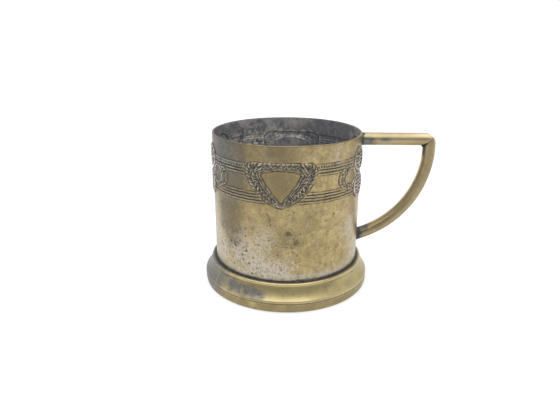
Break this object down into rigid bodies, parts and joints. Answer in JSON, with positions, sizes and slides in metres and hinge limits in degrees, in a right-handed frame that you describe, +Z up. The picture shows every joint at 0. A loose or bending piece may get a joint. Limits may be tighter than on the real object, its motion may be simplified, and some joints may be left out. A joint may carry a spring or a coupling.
{
  "type": "tea glass holder",
  "caption": "Straight-sided metal holder for a tea glass, with an embossed frieze of shields and knots, a spreading hollow foot and a bow handle of mitred round bars.",
  "frame": {"origin": "middle of the floor that the tea glass stands on, on the sleeve's axis", "axes": "+Z up along the sleeve's axis, out of the mouth; +X from the axis to the handle"},
  "size_m": [0.1106, 0.081, 0.0746],
  "materials": {
    "sleeve_plate": "worn plate over brass, pitted and spotted, dark patina in the frieze, grey tarnish inside",
    "foot_brass": "polished brass with grey tarnish patches",
    "floor_tarnish": "dull grey tarnish",
    "handle_brass": "worn smooth brass, darker near the solder",
    "solder": "dull dark grey soft solder"
  },
  "bodies": {
    "root": {"body_sleeve": "sleeve_plate", "foot_moulding": "foot_brass", "floor_disc": "floor_tarnish", "handle_top_arm": "handle_brass", "handle_bow": "handle_brass", "foot_solder_ring": "solder", "floor_solder_ring": "solder", "upper_joint_solder": "solder", "lower_joint_solder": "solder", "corner_solder": "solder"}
  },
  "joints": []
}
